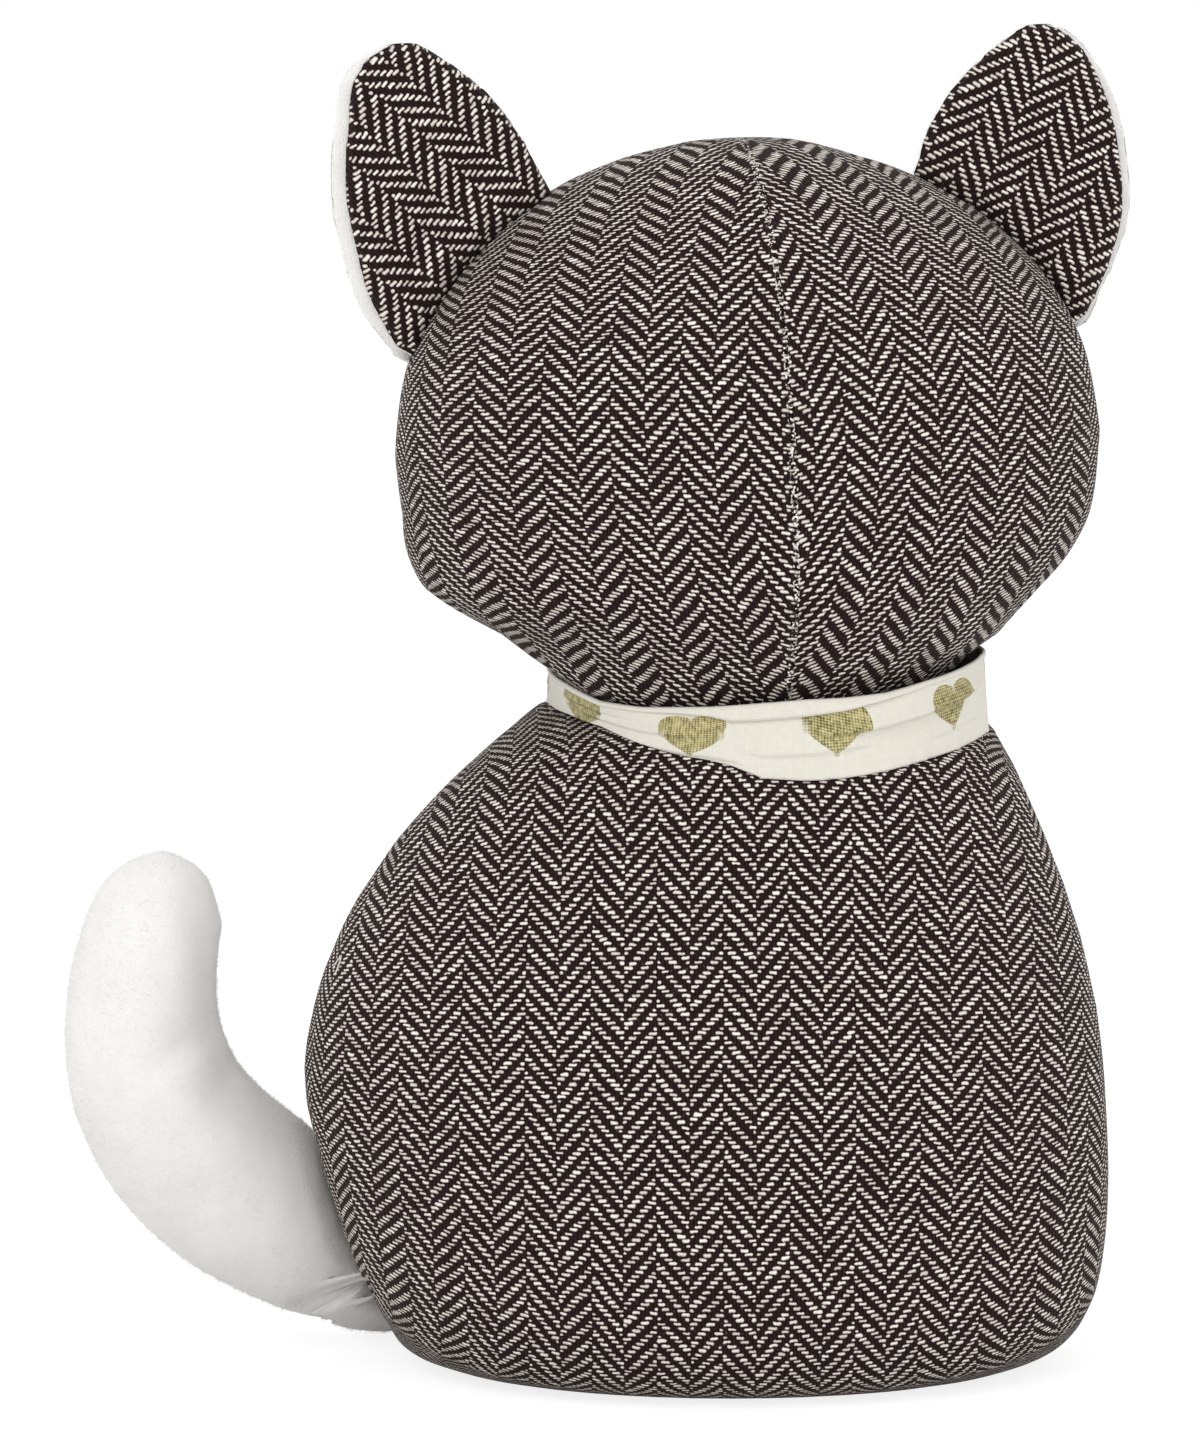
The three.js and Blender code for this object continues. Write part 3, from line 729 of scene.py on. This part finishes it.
# Ribbon collar
collar = {
    "middle": (10.5 * mm, 0),
    "halfWidth": 47.8,  # of the neck, in mm
    "halfDepth": 44,
    "round": 46.5 * mm,
    "clearance": 0.55 * mm,
    "draw": 0.6 * mm,
    "slope": {"body": (3.0, 0), "head": (1.0, 0.06)},
    "thickness": 0.45 * mm,
    "stations": 240,
    "rows": 30,
    "smoothed": 9,
    "outside": 0.15,
    # turn round the neck; lower and upper edge, the cloth's own width at each, and its fold-over, in mm
    "edges": (
        (-270, 143.8, 157.9, 2, 19, 0.55),
        (-240, 146, 157.5, 4, 19, 0.55),
        (-210, 147.4, 157, 5, 19, 0.55),
        (-180, 147.8, 156, 6, 19, 0.55),
        (-156, 147.2, 153.6, 7.5, 19, 0.55),
        (-140, 145.7, 150.9, 7.5, 20, 0.55),
        (-126, 143, 150.4, 6.5, 22, 0.55),
        (-114, 141.1, 150.9, 5, 23, 0.9),
        (-106, 140.1, 151.2, 4, 22, 1.6),
        (-100, 139.0, 151.6, 3, 20, 3.1),
        (-92, 136.3, 152.2, 0.8, 18, 3.3),
        (-81, 135.7, 152.9, 0, 17.5, 3.2),
        (-71, 136.1, 153.1, 0, 17.5, 2.4),
        (-59, 137.3, 153.8, 0, 17.5, 1.0),
        (-46, 139, 155.6, 0, 17.5, 0.55),
        (-28, 141.1, 157.7, 0, 17.5, 0.55),
        (-13, 142.4, 159.0, 0, 17.5, 0.55),
        (0, 143, 159.4, 0, 17.5, 0.55),
        (30, 144, 159.4, 0, 17.5, 0.55),
        (60, 144.2, 158.6, 1, 18, 0.55),
        (90, 143.8, 157.9, 2, 19, 0.55),
    ),
    # folds: from turn and share of the width, to turn and share; depth, reach and cloth hidden, in mm
    "folds": (
        (-80, 0.56, -12, 0.70, 2.2, 3.6, 4.2),
        (-100, 0.30, -60, 0.40, 0.8, 3.2, 0),
        (-124, 0.05, -94, 0.12, 0.9, 1.8, 0),
        (-152, 0.35, -104, 0.45, 0.7, 1.8, 0),
        (-165, 0.62, -122, 0.72, 0.6, 1.4, 0),
        (-50, 0.26, -6, 0.36, 0.5, 2.8, 0),
        (-240, 0.40, -175, 0.55, 0.7, 2.0, 0),
        (10, 0.45, 80, 0.52, 0.9, 2.8, 0),
    ),
    "lip": 0.6,
    # the fold-over at the top: how far out, and how far down in shares of its width
    "over": ((0.3, -0.25), (0.65, -0.1), (0.85, 0.15), (0.85, 0.5), (0.8, 0.75), (0.72, 1)),
}
collarEdges = np.array(collar["edges"])


def collarAt(turn, *columns):
    return [np.interp(turn, collarEdges[:, 0], collarEdges[:, k]) for k in columns]


def drawNeck(piece, part):  # draws the cloth in where the ribbon is tied round it
    places = points(piece)
    out = places[:, :2] - np.array(collar["middle"])
    far = np.linalg.norm(out, axis=1)
    turn = np.degrees(np.arctan2(out[:, 1] / collar["halfDepth"], out[:, 0] / collar["halfWidth"]))
    turn = np.where(turn > 90, turn - 360, turn)
    lower, upper = (edge * mm for edge in collarAt(turn, 1, 2))
    across = out / far[:, None] / (collar["halfWidth"], collar["halfDepth"])
    reach = mm / np.linalg.norm(across, axis=1)
    away = np.maximum(0, 0.4 * mm + (lower - places[:, 2] if part == "body" else places[:, 2] - upper))
    slope, growth = collar["slope"][part]
    limit = reach - collar["draw"] + away * (slope + growth * away / mm)
    beside = (away < 14 * mm) & (far > limit)
    places[beside, :2] = np.array(collar["middle"]) + out[beside] * (limit[beside] / far[beside])[:, None]
    setPoints(piece, places)


def trimSides(piece, trims, middle):  # moves the sides out by height: height, left and right in mm
    table = np.array(trims)
    places = points(piece)
    height = places[:, 2] / mm
    out = places[:, 0] - middle
    share = np.clip(np.abs(out) / (40 * mm), 0, 1) ** 2  # all of it from 40 mm out
    left = np.interp(height, table[:, 0], table[:, 1]) * mm
    right = np.interp(height, table[:, 0], table[:, 2]) * mm
    places[:, 0] += np.where(out < 0, -left, right) * share
    setPoints(piece, places)


def pressIn(piece, spots):  # shallow hollows behind: x, z, turn, half length, half width and depth, in mm
    places = points(piece)
    facing = np.clip(-normals(piece)[:, 1] * 2, 0, 1)
    for x, z, turn, long, wide, deep in spots:
        away = places[:, (0, 2)] / mm - (x, z)
        turned = math.radians(turn)
        along = away[:, 0] * math.cos(turned) + away[:, 1] * math.sin(turned)
        aside = away[:, 1] * math.cos(turned) - away[:, 0] * math.sin(turned)
        places[:, 1] += deep * mm * facing * np.exp(-(along / long) ** 2 - (aside / wide) ** 2)
    setPoints(piece, places)


def pushOut(places, spots):  # moves the outline near a place: x, z, radius, and how far in x and z, in mm
    for x, z, radius, right, up in spots:
        far = np.hypot(places[:, 0] / mm - x, places[:, 2] / mm - z)
        share = np.exp(-(far / radius) ** 2)
        places[:, 0] += share * right * mm
        places[:, 2] += share * up * mm


# Body
stuffing = {"start": 1.2 * mm, "stiffness": 12, "bending": 2, "pressure": 4, "cap": 2.5 * mm}
lintFibres = {"count": 6000, "length": 0.9 * mm, "radius": 0.025 * mm, "stray": 2.2, "comb": (0, 0, 0),
              "material": lint}
bodyCover = {
    "hollows": ((-58, 6, 90, 7, 3.5, 0.8), (-33, 5, 90, 6, 3, 0.7), (-6, 5, 90, 7, 3.5, 0.8),
                (21, 5, 90, 6, 3, 0.7), (46, 6, 90, 7, 3, 0.8), (-70, 118, 60, 16, 7, 0.6)),
    "trims": ((3, 0, 0), (9, -3, 0), (16, -4.3, 0), (34, -4.3, 0), (48, -3.1, 0), (58, -1, 0), (66, 0, 0),
              (112, 0, 0.3), (124, 0.4, 0.8), (134, 0.7, 1.4), (142, 1, 1), (146, 1.8, 0), (151, 4.2, 0),
              (155, 3, 0)),
    "voxel": 4 * mm,
    "relaxed": 12,
    "sim": {**stuffing, "held": lambda place: place[2] < 5 * mm or place[2] > 140 * mm},
    "cloth": {"place": Matrix.Identity(4), "centre": (0, 0, 60 * mm), "depth": 150 * mm, "draw": 0.27,
              "flatten": 0.55},
    "lint": {**lintFibres, "seed": 6},
    "thread": {"radius": 0.22 * mm, "behind": -12 * mm, "material": paleYarn,
               "route": ((-89, 92), (-87, 92.8), (-84.5, 91.8), (-81.8, 92.4), (-81, 90), (-81.3, 87.8))},
}
bodyParts = ["body_back_panel", "body_front_panel", "body_stuffing"]
body = stuffedCopy("body_cover", bodyParts + ["sand_bag", "base_panel"], bodyCover)
trimSides(body, bodyCover["trims"], 0)
pressIn(body, bodyCover["hollows"])
drawNeck(body, "body")
clearBase(body, nodes["base_panel"])
layCloth(body, bodyCover["cloth"])
finishPiece(body, bodyParts, bodyTweed)
addFibres(body, bodyCover["lint"], lambda spot: 12 * mm < spot.z < 132 * mm and spot.x > -80 * mm)
addThread(body, bodyCover["thread"])
print("body made")

# Head, turned and leaned on the neck
headCover = {
    "trims": ((155, 0, 0), (159, -1.6, -0.8), (164, -1.8, 1.2), (170, 1.6, 0), (174, 3.0, -0.6),
              (180, 2.2, -0.4), (190, 0.2, 0.2), (205, -0.4, 0), (225, 0, 0)),
    "crown": {"from": 228 * mm, "to": 262 * mm, "drop": 1.1 * mm, "side": 15 * mm},
    "voxel": 4 * mm,
    "relaxed": 10,
    "sim": {**stuffing, "held": lambda place: place[2] < 160 * mm},
    "cloth": {"place": headPlace, "centre": (0, 0, 3 * mm), "depth": 110 * mm, "draw": 0.27, "flatten": 0.5,
              "phase": {-1: 4.87 * mm, 1: 2.5 * mm}, "slip": 0.3 * mm, "swallowed": 0.0032, "fade": 35 * mm,
              "seam": ((-60, -34, -10, 0, 12, 24, 36, 48, 63, 72),
                       (-0.33, -0.28, -0.18, -0.15, -0.15, -0.12, -0.02, 0.15, 0.42, 0.5))},
    "lint": {**lintFibres, "seed": 7},
}
headParts = ["head_back_left_panel", "head_back_right_panel", "head_front_panel", "head_stuffing"]
head = stuffedCopy("head_cover", headParts, headCover)
trimSides(head, headCover["trims"], 6 * mm)
crown = headCover["crown"]
places = points(head)
drop = np.interp(places[:, 2], (crown["from"], crown["to"]), (0, crown["drop"]))
places[:, 2] -= drop * np.clip((places[:, 0] - crown["side"]) / crown["side"], 0, 1)
setPoints(head, places)
drawNeck(head, "head")
layCloth(head, headCover["cloth"])
finishPiece(head, headParts, headTweed)
addFibres(head, headCover["lint"],
          lambda spot: 163 * mm < spot.z and (spot.z < 212 * mm or abs(spot.x) < 30 * mm))
print("head made")

# Ears: tweed behind, plush in front, pressed to the head where they are sewn on
earCover = {
    "voxel": 1.2 * mm,
    "joint": 2.5 * mm,
    "parting": 0.12 * mm,
    "rim": 0.4 * mm,
    "merge": 0.05 * mm,
    "press": 3 * mm,
    "seat": 0.15 * mm,
    "sim": {"start": 0.3 * mm, "stiffness": 10, "bending": 1, "pressure": 3, "cap": 0.7 * mm},
    "grain": {"left": 45, "right": -29},
    "pushes": {"left": ((-79, 289, 10, -4, 0), (-78, 237, 9, -1.4, 0), (-70, 293, 10, 0, 1.6),
                        (-47, 276, 11, -1.2, 0)),
               "right": ((88, 253, 15, 2.1, 0), (44, 271, 10, -1.6, 0), (68, 296, 13, 0, -1.0))},
    "hollows": {"left": ((-57, 261, 48, 12, 4, 2.6), (-66, 247, 75, 7, 3, 1.6)),
                "right": ((66, 262, 110, 12, 5, 0.6),)},
    "pile": {"seed": 5, "count": 7000, "length": 1.1 * mm, "radius": 0.05 * mm, "stray": 0.7,
             "comb": (0, 0, 0.4), "material": plush},
}


def planarCloth(piece, place, angle):
    local = carried(points(piece), place.inverted())
    turn = math.radians(angle)
    u = local[:, 0] * math.cos(turn) + local[:, 2] * math.sin(turn)
    v = local[:, 2] * math.cos(turn) - local[:, 0] * math.sin(turn)
    layer = piece.data.uv_layers.new(name="cloth")
    for loop in piece.data.loops:
        layer.data[loop.index].uv = (u[loop.vertex_index], v[loop.vertex_index])


def makeEarHalf(side, source, way):  # way is -1 for the half behind and 1 for the one in front
    facts = earCover
    piece = copyOf(source + "_cover", [source])
    settle(piece)
    local = carried(points(piece), headPlace.inverted())
    local[np.abs(local[:, 1]) < facts["rim"], 1] = -way * facts["joint"]
    setPoints(piece, carried(local, headPlace))
    remesh(piece, facts["voxel"])
    pattern = surfaceOf(piece)
    relax(piece, 5)
    stuff(piece, facts["sim"])
    relax(piece, 5)
    keepSize(piece, pattern)
    if way < 0:
        pressIn(piece, facts["hollows"][side])
    places = points(piece)
    pushOut(places, facts["pushes"][side])
    local = carried(places, headPlace.inverted())
    local[:, 1] = way * np.maximum(way * local[:, 1], facts["parting"])
    places = carried(local, headPlace)
    for i, place in enumerate(places):
        hit, normal, _, far = headSurface.find_nearest(Vector(place))
        inside = (Vector(place) - hit).dot(normal) < 0
        if inside or far < facts["press"]:
            places[i] = hit + normal * facts["seat"]
    setPoints(piece, places)
    editAll(piece, lambda: bpy.ops.mesh.remove_doubles(threshold=facts["merge"]))
    shadeSmooth(piece)
    return piece


headSurface = surfaceOf(head)
for side in ("left", "right"):
    tweedSide = makeEarHalf(side, side + "_ear_back", -1)
    plushSide = makeEarHalf(side, side + "_ear_front", 1)
    planarCloth(tweedSide, headPlace, earCover["grain"][side])
    finishPiece(tweedSide, [side + "_ear_back"], tweed)
    finishPiece(plushSide, [side + "_ear_front"], plush)
    addFibres(plushSide, earCover["pile"], lambda spot: (headPlace.inverted() @ spot).y > 0.6 * mm
              and headSurface.find_nearest(spot)[3] > 2 * mm)
print("ears made")

# Tail
tailCover = {
    "voxel": 3 * mm,
    "relaxed": 16,
    "seat": 0.2 * mm,
    "footReach": 4 * mm,
    "close": 5 * mm,
    "fade": 15 * mm,
    "smoothings": (20, 20, 12, 6, 0),
    "hollows": ((-113, 88, 100, 17, 5, 2.4), (-108, 66, 60, 9, 5, 2.2), (-118, 72, 30, 10, 4, 1.2),
                (-101, 52, 130, 12, 5, 1.2)),
    "sim": {"start": 0.5 * mm, "stiffness": 10, "bending": 1, "pressure": 4, "cap": 1 * mm},
    "pile": {"seed": 4, "count": 22000, "length": 1.3 * mm, "radius": 0.06 * mm, "stray": 0.9,
             "comb": (0, 0, 0.9), "material": plush},
}
tailParts = ["tail_cover", "tail_stuffing"]
tail = stuffedCopy("tail_plush", tailParts, tailCover)
pressIn(tail, tailCover["hollows"])
bodySurface = surfaceOf(body)
trims = np.array(bodyCover["trims"])  # the tail's foot goes with the body's side
places = points(tail)
gaps = np.array([bodySurface.find_nearest(Vector(place))[3] for place in places])
share = np.exp(-np.maximum(0, gaps - tailCover["close"]) / tailCover["fade"])
places[:, 0] -= np.interp(places[:, 2] / mm, trims[:, 0], np.minimum(0, trims[:, 1])) * mm * share
setPoints(tail, places)
for smoothing in tailCover["smoothings"]:
    places = points(tail)
    foot = np.zeros(len(places), bool)
    for i, place in enumerate(places):
        hit, normal = bodySurface.find_nearest(Vector(place))[:2]
        above = (Vector(place) - hit).dot(normal)
        foot[i] = above < tailCover["footReach"]
        if above < tailCover["seat"]:
            places[i] = hit + normal * tailCover["seat"]
    setPoints(tail, places)
    if smoothing:
        relax(tail, smoothing, foot)
finishPiece(tail, tailParts, plush)
addFibres(tail, tailCover["pile"], lambda spot: bodySurface.find_nearest(spot)[3] > 2.5 * mm)
print("tail made")

# Ribbon collar
def clothSheet(name, rows, uvs, thickness):  # rows of places, and the flat cloth's own place of each
    across = len(rows[0])
    mesh = bpy.data.meshes.new(name)
    faces = []
    for i in range(len(rows) - 1):
        for k in range(i * across, (i + 1) * across - 1):
            faces.append((k, k + across, k + across + 1, k + 1))
    mesh.from_pydata([place for row in rows for place in row], [], faces)
    piece = newObject(name, mesh)
    layer = mesh.uv_layers.new(name="cloth")
    flat = [uv for row in uvs for uv in row]
    for loop in mesh.loops:
        layer.data[loop.index].uv = flat[loop.vertex_index]
    solid = piece.modifiers.new("thickness", "SOLIDIFY")
    solid.thickness = thickness
    solid.offset = 0
    applyAll(piece)
    editAll(piece, lambda: bpy.ops.mesh.normals_make_consistent(inside=False))
    shadeSmooth(piece)
    return piece


def foldAt(turn, share, width):  # how far the folds lift the ribbon there, and the cloth hidden in them
    lift = hidden = 0
    lip = collar["lip"]
    for firstTurn, firstShare, lastTurn, lastShare, depth, reach, swallowed in collar["folds"]:
        way = (turn - firstTurn) / (lastTurn - firstTurn)
        if not 0 < way < 1:
            continue
        above = (share - firstShare - (lastShare - firstShare) * way) * width
        fade = min(1, 4 * way, 4 * (1 - way))
        if above > 0:
            lift += depth * fade * math.exp(-above / reach)
            hidden += swallowed * fade
        elif above > -lip:
            lift += depth * fade * (1 + above / lip)
            hidden += swallowed * fade * (1 + above / lip)
    return lift, hidden


def neckReach(way, height):  # how far the cloth below comes out there
    start = Vector((*collar["middle"], height * mm)) + way * collar["outside"]
    reach = 0
    for skin in (bodySurface, headSurface):
        hit = skin.ray_cast(start, -way)[0]
        if hit is not None:
            reach = max(reach, collar["outside"] - (hit - start).length)
    return reach


turns = np.linspace(-269.8, 89.8, collar["stations"])
shares = np.linspace(0, 1, collar["rows"])
ways = []
reaches = np.zeros((len(turns), len(shares)))
for i, turn in enumerate(turns):
    low, high = collarAt(turn, 1, 2)
    angle = math.radians(turn)
    across = Vector((collar["halfWidth"] * math.cos(angle), collar["halfDepth"] * math.sin(angle), 0))
    ways.append(across.normalized())
    for j, share in enumerate(shares):
        reach = neckReach(ways[i], low + (high - low) * share) + collar["clearance"]
        reaches[i, j] = max(across.length * mm, reach)
    reaches[i] = np.maximum(reaches[i], np.interp(shares, (0, 1), (reaches[i, 0], reaches[i, -1])))
kernel = np.ones(collar["smoothed"]) / collar["smoothed"]
for j in range(len(shares)):
    wrapped = np.pad(reaches[:, j], len(kernel) // 2, mode="wrap")
    reaches[:, j] = np.maximum(np.convolve(wrapped, kernel, mode="valid"), reaches[:, j] - 0.1 * mm)
rows = []
uvs = []
for i, turn in enumerate(turns):
    low, high, under, full, over = collarAt(turn, 1, 2, 3, 4, 5)
    along = math.radians(turn) * collar["round"]
    row = []
    uv = []
    for j, share in enumerate(shares):
        height = low + (high - low) * share
        lift, hidden = foldAt(turn, share, high - low)
        row.append(Vector((*collar["middle"], height * mm)) + ways[i] * (reaches[i, j] + lift * mm))
        uv.append((along, (under + (full - under) * share + hidden) * mm))
    top = row[-1]
    fall = (row[-6] - top).normalized()
    for out, down in collar["over"]:
        drop = down * over if down > 0 else down
        row.append(top + ways[i] * (out * min(1, over) * mm) + fall * (drop * mm))
        uv.append((along, (30 + max(down, 0) * over) * mm))  # 30 mm up the cloth there is no print
    rows.append(row)
    uvs.append(uv)
ribbon = clothSheet("ribbon_band", rows, uvs, collar["thickness"])
finishPiece(ribbon, ["ribbon_collar"], ribbonCloth)
print("ribbon made")

# Knot and ends at the front
tie = {"voxel": 0.8 * mm, "creases": 7, "creaseDepth": 0.35 * mm, "stand": 0.9 * mm, "wave": 0.5 * mm,
       "length": 38 * mm, "width": 13 * mm, "spread": 13 * mm, "slant": 3 * mm, "rows": 45, "columns": 15}
knot = copyOf("ribbon_tie", ["ribbon_knot"])
settle(knot)
remesh(knot, tie["voxel"])
relax(knot, 3)
places = points(knot)
out = normals(knot)
middle = (places.min(axis=0) + places.max(axis=0)) / 2
turnRound = np.arctan2(places[:, 2] - middle[2], places[:, 0] - middle[0])
front = np.clip((places[:, 1] - places[:, 1].min()) / (1.5 * mm), 0, 1)
crease = (np.cos(turnRound * tie["creases"]) - 1) * tie["creaseDepth"] * front
setPoints(knot, places + out * crease[:, None])
planarCloth(knot, Matrix.Identity(4), 12)
refine(knot)
finishPiece(knot, ["ribbon_knot"], ribbonCloth)

knotNode = nodes["ribbon_knot"]
knotFoot = min((knotNode.matrix_world @ v.co).z for v in knotNode.data.vertices)
for name, side in (("ribbon_end_left", -1), ("ribbon_end_right", 1)):
    rows = []
    uvs = []
    for down in (i / (tie["rows"] - 1) for i in range(tie["rows"])):
        row = []
        uv = []
        for share in (j / (tie["columns"] - 1) for j in range(tie["columns"])):
            across = share - 0.5
            cut = tie["slant"] * (across + 0.5) * (down > 0.9) * (down - 0.9) * 10
            x = side * (down * tie["spread"] + tie["width"] * (across + 0.5) + 0.4 * mm)
            z = knotFoot - 0.5 * mm - tie["length"] * down - cut
            hit = bodySurface.ray_cast(Vector((x, 0.2, z)), Vector((0, -1, 0)))[0]
            ripple = tie["wave"] * (1 + math.sin(across * 5 + down * 7)) * min(1, 3 * down + 0.3)
            row.append(Vector((x, hit.y + tie["stand"] + ripple, z)))
            uv.append((down * tie["length"] + 0.013, (across + 0.5) * tie["width"] + 4 * mm))
        rows.append(row)
        uvs.append(uv)
    piece = clothSheet(name + "_cloth", rows, uvs, collar["thickness"])
    finishPiece(piece, [name], ribbonCloth)
print("knot and ends made")

# Eyes and nose
for name in ("left_eye", "right_eye", "nose"):
    bead = copyOf(name + "_bead", [name])
    settle(bead)
    pattern = surfaceOf(bead)
    remesh(bead, 0.5 * mm)
    relax(bead, 8)
    keepSize(bead, pattern)
    shadeSmooth(bead)
    finishPiece(bead, [name], beadGloss)

# Base and sand bag keep their solids
for name, material in (("base_panel", baseCanvas), ("sand_bag", bagCloth)):
    nodes[name].data.materials.clear()
    nodes[name].data.materials.append(material)

# Camera, as far and as high as in the photograph
camera = {"distance": 1.8, "elevation": math.radians(6.5), "aim": (-26.6 * mm, 0, 143.9 * mm),
          "tall": 319.7 * mm, "sensor": 36}
eye = bpy.data.cameras.new("camera")
eyeObject = newObject("camera", eye)
eye.sensor_width = camera["sensor"]
eye.lens = camera["sensor"] * camera["distance"] / camera["tall"]
away = Vector((0, -math.cos(camera["elevation"]), math.sin(camera["elevation"])))
eyeObject.location = Vector(camera["aim"]) + away * camera["distance"]
eyeObject.rotation_euler = (-away).to_track_quat("-Z", "Y").to_euler()
eye.clip_start = 0.05
eye.clip_end = 20
bpy.context.scene.camera = eyeObject


# Floor, background and lamps
def seenDirectly(tree):
    path = node(tree, "LightPath")
    straight = maths(tree, "MAXIMUM", path.outputs["Is Camera Ray"], path.outputs["Is Glossy Ray"])
    return maths(tree, "MAXIMUM", straight, path.outputs["Is Transmission Ray"])


bpy.ops.object.select_all(action="DESELECT")
bpy.ops.mesh.primitive_plane_add(size=6, location=(0, 0, -0.2 * mm))
floor = bpy.context.object
floor.name = "floor"
settle(floor)
floorPaint, tree = newMaterial("floorPaint")
seen = seenDirectly(tree)
diffuse = node(tree, "BsdfDiffuse", Color=blend(tree, seen, (0.86, 0.86, 0.86, 1), (0.3, 0.3, 0.3, 1)))
glow = node(tree, "Emission", Color=(1, 1, 1, 1), Strength=times(tree, seen, 0.82))
mixed = node(tree, "AddShader")
tree.links.new(diffuse.outputs[0], mixed.inputs[0])
tree.links.new(glow.outputs[0], mixed.inputs[1])
tree.links.new(mixed.outputs[0], node(tree, "OutputMaterial").inputs["Surface"])
floor.data.materials.append(floorPaint)

world = bpy.data.worlds.new("world")
bpy.context.scene.world = world
world.use_nodes = True
tree = world.node_tree
tree.nodes.clear()
skyStrength = 0.92
strength = remap(tree, seenDirectly(tree), 0, 1, skyStrength, 1.0)
shade = node(tree, "Background", Color=(1, 1, 1, 1), Strength=strength)
tree.links.new(shade.outputs[0], node(tree, "OutputWorld").inputs["Surface"])

lamps = {  # place, size and power
    "key": ((-0.9, -1.5, 1.5), 1.1, 8.5),
    "low": ((-1.1, -1.2, 0.2), 0.9, 2.4),
    "fill": ((1.3, -1.3, 0.7), 1.2, 7),
}
for name, (spot, size, watts) in lamps.items():
    lamp = bpy.data.lights.new(name, "AREA")
    lamp.size = size
    lamp.energy = watts
    holder = newObject(name, lamp)
    holder.location = spot
    holder.rotation_euler = (Vector((0, 0, 0.14)) - Vector(spot)).to_track_quat("-Z", "Y").to_euler()

bpy.context.scene.view_settings.view_transform = "Standard"
